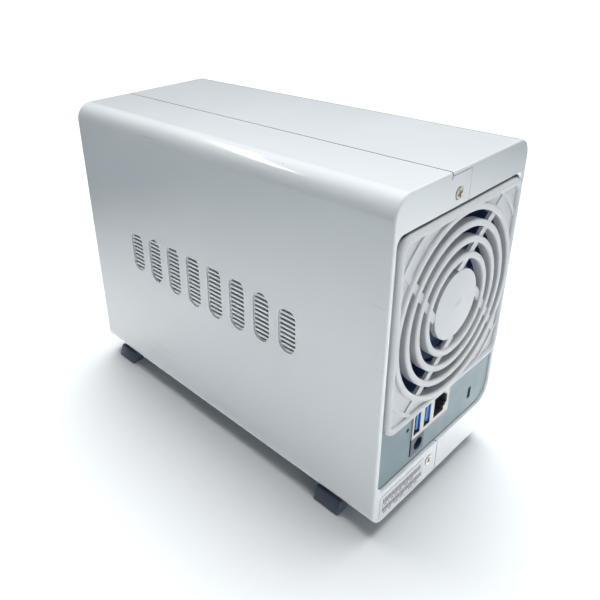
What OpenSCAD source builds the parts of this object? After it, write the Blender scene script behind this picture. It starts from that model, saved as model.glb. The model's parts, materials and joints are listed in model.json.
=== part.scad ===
// Two-bay network storage enclosure.
// Millimetres, +Z up, front along -Y, origin on the floor under the middle of the outer box.

/* [Body] */
// outside width of the shells
body_w = 100; // [94:0.5:106]
// height of the shells without the feet
body_h = 160.3; // [156:0.1:166]
// height of the feet
foot_h = 7.2; // [5:0.1:10]
// plane of the rear rim
rear_y = 108.4; // [106:0.1:110]
// length of the two shells along the body
shell_l = 215.4; // [212:0.1:216]
// radius of the four long corners
corner_r = 9; // [6:0.5:14]
// shell wall thickness
wall = 2.6; // [2:0.1:3.4]
// gap between parts that move past each other
gap = 0.3; // [0.2:0.05:0.5]
// width of the long seams between the two shells
seam_gap = 0.5; // [0.3:0.05:0.7]
// where the top seam runs along the width
seam_top = 13.6; // [5:0.1:20]
// where the bottom seam runs along the width
seam_bottom = -1.2; // [-6:0.1:4]

/* [Rear opening] */
// half width of the opening in the rear wall
open_half = 46.9; // [46:0.1:47.2]
// lower edge of the opening above the underside
open_low = 20.4; // [18:0.1:22]
// upper edge of the opening above the underside
open_high = 144.1; // [144:0.1:147]
// how far the metal plate sits inside the rim
plate_recess = 1.0; // [0.6:0.1:3]
// sheet metal thickness
sheet = 1.2; // [0.8:0.1:1.6]

/* [Side vents] */
// number of louvred openings on each side
vents = 8; // [4:1:10]
// spacing of the openings
vent_pitch = 16.6; // [14:0.2:18]
// width of one opening
vent_w = 10.4; // [8:0.2:12]
// height of the shortest opening
vent_h = 22; // [16:1:26]
// how much taller the middle openings are
vent_rise = 8; // [0:1:12]
// spacing of the louvres
louvre_pitch = 2.4; // [2:0.1:3.2]
// height of each slot between louvres
louvre_slot = 1.2; // [0.8:0.1:1.6]

/* [Fan and guard] */
// outside size of the square fan frame
fan_size = 92; // [92:1:92]
// depth of the fan frame
fan_depth = 25; // [15:5:25]
// spacing of the fan's fixing holes
fan_holes = 82.5; // [82.5:0.5:82.5]
// height of the fan's axis above the underside
fan_z = 97; // [95:0.1:98]
// outside size of the square guard
guard_size = 93; // [90:0.1:93.2]
// radius of the guard's closed centre
guard_hub_r = 16.4; // [14:0.1:20]
// height of the shallow dome on that hub
hub_rise = 0.8; // [0.4:0.1:2]
// inner radius of the smallest guard ring
first_ring_r = 21.1; // [18:0.1:24]
// width of one guard ring
ring_w = 3; // [2.4:0.1:4]
// spacing of the guard rings
ring_pitch = 7.1; // [6:0.1:9]
// how far the guard's rings reach from front to back
ring_depth = 4.6; // [3.5:0.1:5.6]
// distance of each guard bar from the fan's axis
bar_offset = 13.4; // [8:0.1:16]
// width of the four guard bars
bar_w = 3.6; // [2:0.1:5]
// direction of the first guard bar in degrees
bar_angle = 52.5; // [40:0.5:65]
// number of fan blades
blades = 9; // [5:1:11]

/* [Drive bays] */
// length of a 3.5 inch drive
drive_l = 147; // [147:1:147]
// width of a 3.5 inch drive, which stands upright here
drive_w = 101.6; // [101.6:0.1:101.6]
// thickness of a 3.5 inch drive
drive_t = 26.1; // [26.1:0.1:26.1]
// spacing of the drive's outer side holes
drive_holes = 101.6; // [101.6:0.1:101.6]
// radius of the clearance holes for the drive screws
drive_hole_r = 1.8; // [1.7:0.1:2.2]
// spacing of the two bays
bay_pitch = 32.8; // [30:0.1:34]

/* [Controls] */
// radius of the power button
button_r = 5; // [3:0.5:7]
// travel of the power button
button_travel = 1.0; // [0.5:0.1:2]
// number of status lights
lights = 4; // [1:1:5]

/* [Hidden] */

eps = 0.05;
front_y = rear_y - shell_l;
cap_y = rear_y - 2.6;
inner_w = body_w - 2 * wall;
plate_y = rear_y - plate_recess;
fan_y1 = plate_y - sheet - 2.2;
fan_y0 = fan_y1 - fan_depth;
guard_y = rear_y + 1.6;
guard_y0 = guard_y - ring_depth;
plate_hole_r = 51.2;
plate_hole_half = 44.4;
hook_z = 34;
panel_y = -109.4;
button_y = -110;
button_x = 36;
button_z = 24;
light_z = 40;
light_pitch = 8;
light_y = -102.6;
screw_top = [7.5, 150.1];
screw_low = [6, 11.9];
cage_x0 = -33.2;
cage_x1 = 31.2;
cage_y0 = -99;
cage_y1 = 49;
shelf_z = 51;
drive_z = shelf_z + sheet;
roof_z = drive_z + drive_w + 0.3;
bay_x = [-30.6, -30.6 + bay_pitch];
hole_y = -69.5;
board_x = 22.7;
board_t = 1.6;
board_z0 = 6;
board_z1 = 49.5;
board_y0 = -60;
board_y1 = 104.5;
post_at = [[-52, 11], [-52, 44], [40, 11], [92, 12], [40, 44.5]];
stack_x = [-7.4, 22.4];
stack_z = [34.6, 50.1];
port_x = [19.2, 11.1];
socket_x = 1.25;
jack_x = [12.2, 22.5];
jack_z = [24.4, 34];
$fn = 64;

// ---------- helpers ----------

module lift() translate([0, 0, foot_h]) children();

module box(a, b) translate(a) cube(b - a);

module along_y(y0, y1)
  translate([0, y1, 0]) rotate([90, 0, 0]) linear_extrude(y1 - y0) children();

module along_x(x0, x1)
  translate([x0, 0, 0]) rotate([90, 0, 90]) linear_extrude(x1 - x0) children();

module rod_y(x, z, y0, y1, r) translate([x, y0, z]) rotate([-90, 0, 0]) cylinder(h = y1 - y0, r = r);

module rod_x(y, z, x0, x1, r) translate([x0, y, z]) rotate([0, 90, 0]) cylinder(h = x1 - x0, r = r);

module rounded(w, h, r) {
  square([w - 2 * r, h], center = true);
  square([w, h - 2 * r], center = true);
  for (i = [-1, 1], j = [-1, 1])
    translate([i * (w / 2 - r), j * (h / 2 - r)]) circle(r = r);
}

module capsule(w, h) {
  square([w, h - w], center = true);
  for (j = [-1, 1])
    translate([0, j * (h - w) / 2]) circle(d = w);
}

// local frame on the fan's axis, +Z of the children pointing out of the rear
module on_fan(y) translate([0, y, fan_z + foot_h]) rotate([-90, 0, 0]) children();

module body_outline(inset)
  translate([0, body_h / 2])
    rounded(body_w - 2 * inset, body_h - 2 * inset, corner_r - inset);

// outline of the opening in the rear wall, its corner at the lower left rounder than the others
module rear_opening(inset) {
  w = 2 * (open_half - inset);
  h = open_high - open_low - 2 * inset;
  translate([0, (open_low + open_high) / 2])
    difference() {
      rounded(w, h, 4);
      difference() {
        translate([-w / 2 - 1, -h / 2 - 1]) square(11);
        translate([-w / 2 + 10, -h / 2 + 10]) circle(r = 10);
      }
    }
}

module span(x0, x1, z0, z1) translate([x0, z0]) square([x1 - x0, z1 - z0]);

// the region across the body that one half shell covers; side -1 is the left, +1 the right
module half_region(side) {
  top = seam_top + (side > 0 ? seam_gap : 0);
  low = seam_bottom + (side > 0 ? seam_gap : 0);
  span(side < 0 ? -body_w : top, side < 0 ? top : body_w, body_h / 2, body_h + 1);
  span(side < 0 ? -body_w : low, side < 0 ? low : body_w, -1, body_h / 2);
}

// one half of the tube-shaped body
module half_tube(side)
  along_y(front_y, cap_y)
    intersection() {
      difference() {
        body_outline(0);
        body_outline(wall);
      }
      half_region(side);
    }

// rear wall with a rounded outer rim and a bevelled opening
module rear_cap()
  difference() {
    hull() {
      along_y(cap_y, rear_y - 0.8) body_outline(0);
      along_y(cap_y, rear_y - 0.25) body_outline(0.25);
      along_y(cap_y, rear_y) body_outline(0.8);
    }
    along_y(cap_y - 1, rear_y) rear_opening(0);
    hull() {
      along_y(rear_y - 0.8, rear_y - 0.7) rear_opening(0);
      along_y(rear_y, rear_y + 0.1) rear_opening(-0.8);
    }
  }

// the curved corner where the lower rear seam turns onto the opening's edge
module tab_corner(r)
  translate([seam_bottom + gap + 3, open_low - 3])
    difference() {
      translate([-3 - gap - 0.01, 0]) square([3 + gap, 4]);
      circle(r = r);
    }

// louvred openings through one side wall
module vent_cuts(side) {
  x0 = side < 0 ? -body_w / 2 - 1 : body_w / 2 - 0.7;
  x1 = x0 + 1.7;
  t0 = side < 0 ? -body_w / 2 - 1 : body_w / 2 - wall - 1;
  for (i = [0 : vents - 1]) {
    h = vent_h + vent_rise * sin(180 * (i + 0.5) / vents);
    y = (i - (vents - 1) / 2) * vent_pitch - 1.6;
    rows = floor((h - 2) / louvre_pitch / 2);
    along_x(x0, x1) translate([y, 83]) capsule(vent_w, h);
    along_x(t0, t0 + wall + 2)
      intersection() {
        translate([y, 83]) capsule(vent_w - 1.2, h - 1.2);
        for (k = [-rows : rows])
          translate([y - vent_w / 2, 83 + k * louvre_pitch - louvre_slot / 2])
            square([vent_w, louvre_slot]);
      }
  }
}

// ---------- shells and feet ----------

module left_shell() color("whitesmoke") lift()
  difference() {
    union() {
      half_tube(-1);
      intersection() {
        rear_cap();
        along_y(cap_y - 1, rear_y + 1) {
          span(-body_w, -0.7, body_h / 2, body_h);
          span(-body_w, seam_top, body_h - 1.5, body_h);
          span(-body_w, seam_bottom, 0, body_h / 2);
          tab_corner(3 + gap);
        }
      }
      box([-6, 96, open_high + 0.2], [seam_top - 0.2, 105.6, body_h - wall + eps]);
      box([-12, 96, wall - eps], [seam_bottom, cap_y + eps, 17]);
      box([seam_bottom - eps, 96, wall + gap], [11.5, 105.6, 17]);
      box([seam_top - 5.4, -101, body_h - wall - 1.6], [seam_top + 2.6, 95, body_h - wall - gap]);
      box([seam_top - 5.4, -101, body_h - wall - gap - eps], [seam_top - 0.2, 95, body_h - wall + eps]);
      for (y = [-90, 80], x = [-40, -8])
        translate([x, y, wall - eps]) cylinder(h = 0.4 + eps, r = 4);
    }
    for (s = [screw_top, screw_low])
      rod_y(s[0], s[1], 97, 110, 1.45);
    for (y = [-90, 80], x = [-40, -8])
      translate([x, y, 0.8]) cylinder(h = 4, r = 1.2);
    vent_cuts(-1);
  }

module right_shell() color("whitesmoke") lift()
  difference() {
    union() {
      half_tube(1);
      intersection() {
        rear_cap();
        along_y(cap_y - 1, rear_y + 1) {
          span(-0.7 + gap, body_w, body_h / 2, body_h - 1.5 - gap);
          span(seam_top + seam_gap, body_w, body_h / 2, body_h);
          span(seam_bottom + seam_gap, body_w, 0, body_h / 2);
        }
      }
    }
    along_y(cap_y - 2, rear_y + 1) tab_corner(3);
    for (s = [screw_top, screw_low]) {
      rod_y(s[0], s[1], 104, 110, 1.75);
      rod_y(s[0], s[1], rear_y - 1, 110, 2.8);
    }
    vent_cuts(1);
  }

module foot_profile(side)
  polygon([[side * 29, 0], [side * 49.6, 0], [side * 49.9, 0.8], [side * 47.2, foot_h], [side * 31, foot_h]]);

module feet(side)
  for (y = [-98, 73.5])
    along_y(y, y + 15) foot_profile(side);

module left_feet() color("slategray") feet(-1);

module right_feet() color("slategray") feet(1);

module cover_screws() color("silver") lift()
  for (s = [screw_top, screw_low])
    difference() {
      union() {
        rod_y(s[0], s[1], rear_y - 1, rear_y + 0.3, 2.6);
        rod_y(s[0], s[1], 98.5, rear_y - 1 + eps, 1.35);
      }
      for (a = [20, 110])
        translate([s[0], rear_y + 0.3, s[1]]) rotate([0, a, 0]) cube([3.6, 1.6, 0.8], center = true);
    }

module blank_label() color("white") lift()
  box([10.4, rear_y + 0.02, 3.7], [45, rear_y + 0.2, 16.2]);

// ---------- front ----------

module front_panel() color("whitesmoke") lift()
  difference() {
    union() {
      difference() {
        union() {
          along_y(-107.6, -102.7) body_outline(wall + gap);
          hull() {
            along_y(-107.7, -107) body_outline(wall + gap);
            along_y(-108.5, -107) body_outline(wall + gap + 0.5);
            along_y(-109.1, -107) body_outline(wall + gap + 1.4);
            along_y(panel_y, -107) body_outline(wall + gap + 3);
          }
        }
        along_y(panel_y + wall, -102) body_outline(2 * wall + gap);
      }
      for (x = [-22, 20], z = [30, 150])
        rod_y(x, z, panel_y + wall - eps, cage_y0 - sheet - 0.2, 3.4);
      for (z = [14, 70])
        rod_y(button_x, z, panel_y + wall - eps, light_y, 2.6);
    }
    for (x = [-22, 20], z = [30, 150])
      rod_y(x, z, -106, -98, 1.25);
    for (z = [14, 70])
      rod_y(button_x, z, -105.6, -98, 0.9);
    rod_y(button_x, button_z, -112, -104, button_r + gap);
    for (i = [0 : lights - 1])
      along_y(-112, -104) translate([button_x, light_z + i * light_pitch]) rotate(90) capsule(2.2, 6.2);
  }

module power_button() color("gainsboro") lift() {
  rod_y(button_x, button_z, button_y, -106.8, button_r);
  rod_y(button_x, button_z, -107, -106.4, button_r - 0.6);
  rod_y(button_x, button_z, -106.6, -105.8, button_r + 1.2);
  rod_y(button_x, button_z, -106, -105.2, 1.6);
}

module power_switch() color("dimgray") lift() {
  box([button_x - 3, -103.7, button_z - 3], [button_x + 3, light_y - 0.02, button_z + 3]);
  rod_y(button_x, button_z, -104, -103.6, 1.6);
}

module light_board() color("darkgreen") lift()
  difference() {
    box([button_x - 7, light_y, 10], [button_x + 7, light_y + board_t, 74]);
    for (z = [14, 70])
      rod_y(button_x, z, light_y - 1, light_y + 3, 1.3);
  }

module light_board_screws() color("silver") lift()
  for (z = [14, 70]) {
    rod_y(button_x, z, light_y + board_t, light_y + board_t + 1.2, 2);
    rod_y(button_x, z, -105, light_y + board_t + eps, 0.85);
  }

module light_pipes() color("white") lift()
  for (i = [0 : lights - 1])
    along_y(panel_y - 0.1, -104.4)
      translate([button_x, light_z + i * light_pitch]) rotate(90) capsule(2, 6);

module light_emitters() color("ivory") lift()
  for (i = [0 : lights - 1])
    box([button_x - 1.4, -103.6, light_z + i * light_pitch - 0.8],
        [button_x + 1.4, light_y - 0.02, light_z + i * light_pitch + 0.8]);

module front_screws() color("silver") lift()
  for (x = [-22, 20], z = [30, 150]) {
    rod_y(x, z, cage_y0, cage_y0 + 1.6, 2.8);
    rod_y(x, z, -105, cage_y0 + eps, 1.2);
  }

// ---------- rear plate, tray and cage ----------

module latch_profile(w, h) {
  square([w, h], center = true);
  translate([-w / 2 - 0.7, 0]) square([1.5, h * 0.62], center = true);
  translate([-w / 2 - 1.25, 0]) square([2.6, h * 0.42], center = true);
}

module rear_plate() color("lightslategray") lift()
  difference() {
    union() {
      along_y(plate_y - sheet, plate_y)
        intersection() {
          rear_opening(gap);
          span(-body_w, body_w, 0, fan_z + guard_size / 2 - 0.6);
        }
      box([-40, 90, open_low + 0.4], [8, plate_y - sheet + eps, open_low + 0.4 + sheet]);
    }
    intersection() {
      rod_y(0, fan_z, 104, 110, plate_hole_r);
      box([-plate_hole_half, 100, fan_z - plate_hole_half], [plate_hole_half, 111, fan_z + plate_hole_half]);
    }
    for (i = [-1, 1], j = [-1, 1]) {
      rod_y(i * fan_holes / 2, fan_z + j * fan_holes / 2, 104, 110, 2.2);
      box([i * 43.7 - 0.9, 104, fan_z + j * hook_z - 3.2], [i * 43.7 + 0.9, 110, fan_z + j * hook_z + 3.2]);
    }
    box([stack_x[0] - 0.3, 100, stack_z[0] - 0.5], [stack_x[1] + 0.3, 110, stack_z[1] + 0.3]);
    box([jack_x[0] - 0.3, 100, jack_z[0] - 0.3], [jack_x[1] + 0.3, 110, jack_z[1] + 0.5]);
    rod_y(26, 42.4, 100, 110, 1.1);
    along_y(100, 110) translate([-29.4, 31.6]) rounded(3, 7, 0.8);
    for (x = [-34, 2])
      translate([x, 97, open_low - 1]) cylinder(h = 4, r = 1.7);
  }

module lock_bracket() color("silver") lift()
  difference() {
    union() {
      box([-37, 104.9, 24], [-22, plate_y - sheet - 0.02, 39]);
      box([-37, 98, 24], [-36, 105, 39]);
    }
    along_y(100, 110) translate([-29.4, 31.6]) rounded(3.2, 7.2, 0.8);
  }

module base_tray() color("silver") lift()
  difference() {
    union() {
      box([-42.5, cage_y0 + 0.02, wall + 0.4], [cage_x1, 94, wall + 0.4 + sheet]);
      box([cage_x1 - sheet, -58, wall + 0.4], [cage_x1, 94, shelf_z - 0.02]);
      for (x = [-40, -4]) {
        box([x, 89, wall + 0.4], [x + 12, 90.2, open_low + 0.38]);
        box([x, 89, open_low - 0.82], [x + 12, 103, open_low + 0.38]);
      }
    }
    for (y = [-90, 80], x = [-40, -8])
      translate([x, y, 0]) cylinder(h = 6, r = 1.7);
    for (x = [-34, 2])
      translate([x, 97, open_low - 3]) cylinder(h = 6, r = 1.25);
    for (p = post_at)
      rod_x(p[0], p[1], cage_x1 - 4, cage_x1 + 1, 1.3);
    for (y = [-20, 68])
      along_x(cage_x1 - 4, cage_x1 + 1) translate([y, 27]) rounded(44, 24, 4);
    for (y = [-70 : 14 : 84], x = [-30, 0, 16])
      if (abs(y) > 12)
        translate([x, y, 0]) cylinder(h = 6, r = 3);
  }

module tray_screws() color("silver") lift() {
  for (y = [-90, 80], x = [-40, -8]) {
    translate([x, y, wall + 0.4 + sheet]) cylinder(h = 1.4, r = 2.8);
    translate([x, y, 1]) cylinder(h = wall + sheet, r = 1.15);
  }
  for (x = [-34, 2]) {
    translate([x, 97, open_low + 0.4 + sheet]) cylinder(h = 1.6, r = 2.8);
    translate([x, 97, open_low - 2.3]) cylinder(h = 4.2, r = 1.2);
  }
}

module bay_holes(z)
  for (x = bay_x, y = [hole_y, hole_y + drive_holes])
    translate([x + 6.35, y, z - 1]) cylinder(h = sheet + 2, r = drive_hole_r);

module cage_shelf() color("silver") lift()
  difference() {
    union() {
      box([cage_x0 + sheet, cage_y0 + 0.02, shelf_z], [cage_x1, cage_y1, shelf_z + sheet]);
      box([cage_x0, -85, wall + 0.4 + sheet], [cage_x0 + sheet, 40, shelf_z + eps]);
      box([cage_x0, -85, shelf_z], [cage_x0 + sheet + eps, 40, shelf_z + sheet]);
    }
    bay_holes(shelf_z);
    for (y = [-46, 5])
      along_x(cage_x0 - 1, cage_x0 + 3) translate([y, 27]) rounded(42, 30, 5);
    for (y = [-84 : 14 : 28], x = [-10, 22])
      translate([x, y, shelf_z - 1]) cylinder(h = 4, r = 3.5);
  }

module cage_roof() color("silver") lift()
  difference() {
    box([cage_x0 - 8, cage_y0 + 0.02, roof_z], [cage_x1, cage_y1 + 4, roof_z + sheet]);
    bay_holes(roof_z);
    for (y = [-90, 36])
      translate([cage_x0 - 4, y, roof_z - 1]) cylinder(h = 4, r = 1.4);
    for (y = [-84 : 14 : 28], x = [-10, 22])
      translate([x, y, roof_z - 1]) cylinder(h = 4, r = 3.5);
    for (x = [-26, 24])
      translate([x, 51, roof_z - 1]) cylinder(h = 4, r = 1.4);
  }

module cage_side() color("silver") lift()
  difference() {
    union() {
      box([cage_x0, cage_y0 + 0.02, shelf_z + sheet + 0.02], [cage_x0 + sheet, cage_y1 - 0.02, roof_z - 0.02]);
      for (y = [-96, 30])
        box([cage_x0 - 8, y, roof_z - sheet - 0.02], [cage_x0 + eps, y + 12, roof_z - 0.02]);
    }
    for (y = [-72, -25, 22])
      along_x(cage_x0 - 1, cage_x0 + 3) translate([y, 103]) rounded(34, 76, 8);
    for (y = [-90, 36])
      translate([cage_x0 - 4, y, roof_z - 3]) cylinder(h = 4, r = 1.2);
  }

module cage_front() color("silver") lift()
  difference() {
    box([cage_x0, cage_y0 - sheet, wall + 0.42], [cage_x1, cage_y0, roof_z + sheet]);
    for (x = [-17, 15])
      along_y(-110, -90) translate([x, 103]) rounded(22, 78, 5);
    along_y(-110, -90) translate([-1, 24]) rounded(26, 26, 5);
    for (x = [-22, 20], z = [30, 150])
      rod_y(x, z, -110, -90, 1.6);
  }

module cage_rear() color("silver") lift()
  difference() {
    union() {
      box([cage_x0, 54.4, shelf_z + 4], [cage_x1, 54.4 + sheet, roof_z - 0.02]);
      box([cage_x0, cage_y1 + 0.02, roof_z - sheet - 0.02], [cage_x1, 55, roof_z - 0.02]);
      box([cage_x0, cage_y1 + 0.02, shelf_z + 4], [cage_x0 + sheet, 55, roof_z - 0.02]);
    }
    for (x = [-16, 14])
      along_y(50, 60) translate([x, 106]) rounded(24, 72, 5);
    for (x = [-29, 27], z = [62, 148])
      rod_y(x, z, 50, 60, 1.3);
    for (x = [-26, 24])
      translate([x, 51, roof_z - 3]) cylinder(h = 4, r = 1.2);
  }

module cage_screws() color("silver") lift() {
  for (x = [-26, 24]) {
    translate([x, 51, roof_z + sheet]) cylinder(h = 1.4, r = 2.6);
    translate([x, 51, roof_z - 3]) cylinder(h = 4.3, r = 1.15);
  }
  for (y = [-90, 36]) {
    translate([cage_x0 - 4, y, roof_z + sheet]) cylinder(h = 1.4, r = 2.6);
    translate([cage_x0 - 4, y, roof_z - 3]) cylinder(h = 4.3, r = 1.15);
  }
  for (x = [-29, 27], z = [62, 148]) {
    rod_y(x, z, 49.6, 51, 2.6);
    rod_y(x, z, 50.9, 57, 1.15);
  }
}

// ---------- fan and guard ----------

// upright strip with rounded top corners, from the ground line up
module rounded_strip(w, depth, r)
  intersection() {
    union() {
      square([w, depth - r]);
      translate([r, 0]) square([w - 2 * r, depth]);
      for (x = [r, w - r])
        translate([x, depth - r]) circle(r = r, $fn = 32);
    }
    square([w, depth + 1]);
  }

module ring(r0, depth) rotate_extrude() translate([r0, 0]) rounded_strip(ring_w, depth, 0.8);

module guard_border() {
  w = 3.4;
  h = guard_size / 2;
  r = 7;
  d = guard_y - plate_y;
  for (a = [0 : 90 : 270])
    rotate([0, 0, a]) {
      translate([-h + r, -h + w, 0]) rotate([90, 0, 90]) mirror([1, 0]) linear_extrude(2 * h - 2 * r)
        rounded_strip(w, d, 1.4);
      translate([h - r, h - r, 0]) rotate_extrude(angle = 90) translate([r - w, 0]) rounded_strip(w, d, 1.4);
    }
}

module guard_square(side, z0, z1)
  translate([-side / 2, -side / 2, z0]) cube([side, side, z1 - z0]);

module guard_bars(z0, z1)
  for (k = [0 : 3])
    rotate([0, 0, -bar_angle + 90 * k])
      translate([9.2, bar_offset - bar_w / 2, z0]) cube([41, bar_w, z1 - z0]);

// round cap with a shallow dome
module guard_hub(top) {
  dome_r = (pow(guard_hub_r, 2) + pow(hub_rise, 2)) / (2 * hub_rise);
  intersection() {
    translate([0, 0, top - dome_r]) sphere(r = dome_r);
    translate([0, 0, top - 3.4]) cylinder(h = 4, r = guard_hub_r);
  }
}

module fan_guard() color("gainsboro") {
  deep = guard_y - guard_y0;
  base = plate_y - guard_y0;
  difference() {
    on_fan(guard_y0) {
      translate([0, 0, base]) guard_border();
      guard_hub(deep);
      for (i = [1 : 3])
        ring(first_ring_r + (i - 1) * ring_pitch, deep);
      intersection() {
        ring(first_ring_r + 3 * ring_pitch, deep);
        guard_square(88.4, -1, deep + 1);
      }
      difference() {
        translate([0, 0, base + 0.2]) linear_extrude(0.9) rounded(guard_size - 1, guard_size - 1, 6);
        cylinder(h = 20, r = first_ring_r + 3 * ring_pitch + 1);
      }
      intersection() {
        difference() {
          translate([0, 0, base + 0.2]) cylinder(h = 1.6, r = 53);
          cylinder(h = 20, r = plate_hole_r);
        }
        guard_square(guard_size - 1, 0, deep);
      }
      guard_bars(base + 0.02, deep - 1);
      for (i = [-1, 1], j = [-1, 1])
        translate([i * 43.7 - 0.6, j * hook_z - 2.8, base - 2]) cube([1.2, 5.6, 2.4]);
    }
    for (i = [-1, 1], j = [-1, 1])
      lift() rod_y(i * fan_holes / 2, fan_z + j * fan_holes / 2, plate_y - 1, plate_y + 1, 3.5);
  }
}

module fan_frame() color("darkslategray")
  on_fan(fan_y0) {
    difference() {
      union() {
        linear_extrude(3.5) rounded(fan_size, fan_size, 5);
        translate([0, 0, fan_depth - 3.5]) linear_extrude(3.5) rounded(fan_size, fan_size, 5);
        cylinder(h = fan_depth, r = 45.4);
      }
      translate([0, 0, -1]) cylinder(h = fan_depth + 2, r = 43.6);
      for (i = [-1, 1], j = [-1, 1])
        translate([i * fan_holes / 2, j * fan_holes / 2, -1]) cylinder(h = fan_depth + 2, r = 2.15);
    }
    difference() {
      union() {
        translate([0, 0, fan_depth - 3.5]) cylinder(h = 3.5, r = 19);
        for (a = [0 : 90 : 270])
          rotate([0, 0, a + 20]) translate([17, -1.5, fan_depth - 3]) cube([27.5, 3, 3]);
      }
      translate([0, 0, fan_depth - 5]) cylinder(h = 3.6, r = 3.02);
    }
  }

module fan_rotor() color("midnightblue")
  on_fan(fan_y0 + 1.5) {
    difference() {
      cylinder(h = 16, r = 17.5);
      translate([0, 0, 2]) cylinder(h = 15, r = 15.6);
      translate([0, 0, -1]) cylinder(h = 5, r = 1.5);
    }
    intersection() {
      difference() {
        cylinder(h = 15, r = 42.5);
        translate([0, 0, -1]) cylinder(h = 17, r = 17.2);
      }
      for (k = [0 : blades - 1])
        rotate([0, 0, k * 360 / blades]) translate([30, 0, 7.5]) rotate([48, 0, 0])
          cube([34, 1.7, 30], center = true);
    }
  }

module fan_shaft() color("silver")
  on_fan(fan_y0 + 1.5) cylinder(h = fan_depth - 5.5, r = 1.5);

module fan_bearing() color("goldenrod")
  on_fan(fan_y0 + 8)
    difference() {
      cylinder(h = fan_depth - 9.9, r = 3);
      translate([0, 0, -1]) cylinder(h = fan_depth, r = 1.55);
    }

module fan_stator() color("peru")
  on_fan(fan_y0 + 8.5) {
    difference() {
      cylinder(h = 8, r = 6);
      translate([0, 0, -1]) cylinder(h = 10, r = 3.02);
    }
    for (a = [0 : 90 : 270])
      rotate([0, 0, a]) {
        translate([5.5, -2.2, 1]) cube([5.5, 4.4, 6]);
        translate([10.5, -5.5, 0.5]) cube([3, 11, 7]);
      }
    translate([0, 0, 7.9]) difference() {
      cylinder(h = 1, r = 14);
      translate([0, 0, -1]) cylinder(h = 3, r = 3.02);
    }
  }

module fan_pins() color("black")
  for (i = [-1, 1], j = [-1, 1]) {
    lift() {
      rod_y(i * fan_holes / 2, fan_z + j * fan_holes / 2, plate_y, plate_y + 0.8, 3.2);
      rod_y(i * fan_holes / 2, fan_z + j * fan_holes / 2, fan_y0 - 2.4, plate_y + eps, 2);
      rod_y(i * fan_holes / 2, fan_z + j * fan_holes / 2, fan_y0 - 2.4, fan_y0 - 0.1, 3);
    }
  }

module bend_tube(points, r)
  for (i = [0 : len(points) - 2]) {
    d = points[i + 1] - points[i];
    translate(points[i])
      rotate([0, acos(d[2] / norm(d)), atan2(d[1], d[0])]) cylinder(h = norm(d), r = r, $fn = 24);
    if (i > 0) translate(points[i]) sphere(r = r, $fn = 24);
  }

module fan_lead() color("dimgray") lift()
  bend_tube([[30, fan_y0 - 0.02, 52.9], [30, 74, 52.9], [11, 74, 52.9], [11, 74, 43], [14.98, 74, 43]], 1.3);

module fan_plug() color("ivory") lift()
  box([15, 70.2, 40.4], [20.4, 77.8, 45.6]);

module fan_header() color("ivory") lift()
  box([20.42, 70, 40], [board_x - 0.02, 78, 46]);

// ---------- main board ----------

module main_board() color("darkgreen") lift()
  difference() {
    box([board_x, board_y0, board_z0], [board_x + board_t, board_y1, board_z1]);
    for (p = post_at)
      rod_x(p[0], p[1], board_x - 1, board_x + 3, 1.6);
    box([board_x - 1, board_y1 - 9, board_z0 - 1], [board_x + 3, board_y1 + 1, 18]);
  }

module board_standoffs() color("gold") lift()
  for (p = post_at)
    difference() {
      rod_x(p[0], p[1], board_x + board_t, cage_x1 - sheet, 2.8);
      rod_x(p[0], p[1], board_x, cage_x1, 1.25);
    }

module board_screws() color("silver") lift()
  for (p = post_at) {
    rod_x(p[0], p[1], board_x - 1.6, board_x, 2.8);
    rod_x(p[0], p[1], board_x - eps, board_x + 6, 1.2);
  }

module chip(y, z, w, h, t) box([board_x - t, y - w / 2, z - h / 2], [board_x - 0.02, y + w / 2, z + h / 2]);

module processor() color("dimgray") lift() chip(10, 27, 19, 19, 1.4);

module thermal_pad() color("lightpink") lift()
  box([board_x - 2, 1, 18], [board_x - 1.42, 19, 36]);

module heat_sink() color("silver") lift() {
  box([board_x - 4.6, -6, 11], [board_x - 2.02, 26, 43]);
  for (i = [0 : 8])
    box([board_x - 13, -6, 11 + i * 3.85], [board_x - 4.5, 26, 12.2 + i * 3.85]);
}

module memory_chips() color("dimgray") lift()
  for (z = [24, 39])
    chip(-18, z, 9, 13, 1.1);

module controller_chips() color("dimgray") lift() {
  chip(64, 22, 10, 10, 1);
  chip(80, 26, 7, 7, 0.9);
  chip(-38, 25, 8, 8, 0.9);
  chip(44, 26, 6, 5, 1.6);
}

module capacitors() color("silver") lift()
  for (i = [0 : 4])
    rod_x(50 + i * 8, 12, board_x - 9, board_x - 0.02, 3.1);

module inductors() color("dimgray") lift()
  for (i = [0 : 2])
    chip(-41 + i * 10, 12.5, 7, 7, 4);

module coin_cell_holder() color("black") lift()
  difference() {
    rod_x(-42, 40, board_x - 4, board_x - 0.02, 6.6);
    rod_x(-42, 40, board_x - 5, board_x - 0.9, 6.3);
  }

module coin_cell() color("silver") lift()
  rod_x(-42, 40, board_x - 3.4, board_x - 0.92, 6.2);

module buzzer() color("black") lift()
  difference() {
    rod_x(-29, 42, board_x - 6, board_x - 0.02, 4.5);
    rod_x(-29, 42, board_x - 7, board_x - 4, 1);
  }

module cable_header() color("ivory") lift()
  box([board_x - 6, -56, 20], [board_x - 0.02, -50, 30]);

module front_cable() color("lightgray") lift() {
  box([35.6, light_y + board_t + 0.02, 20], [36.4, -64, 29]);
  box([18.6, -64.8, 20], [36.4, -64, 29]);
  box([18.6, -64.8, 20.5], [19.4, -56.02, 29]);
}

module connector_stack() color("lightgray") lift()
  difference() {
    box([stack_x[0], 88, stack_z[0]], [stack_x[1] + 0.28, rear_y - 0.4, stack_z[1]]);
    for (x = port_x)
      along_y(93, 110) translate([x, 43]) square([4.9, 12.6], center = true);
    along_y(94, 110) translate([socket_x, 43]) latch_profile(8.5, 12);
  }

module usb_tongues() color("dodgerblue") lift()
  for (x = port_x)
    box([x - 2, 93.02, 38], [x - 0.2, 107.2, 48]);

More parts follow.
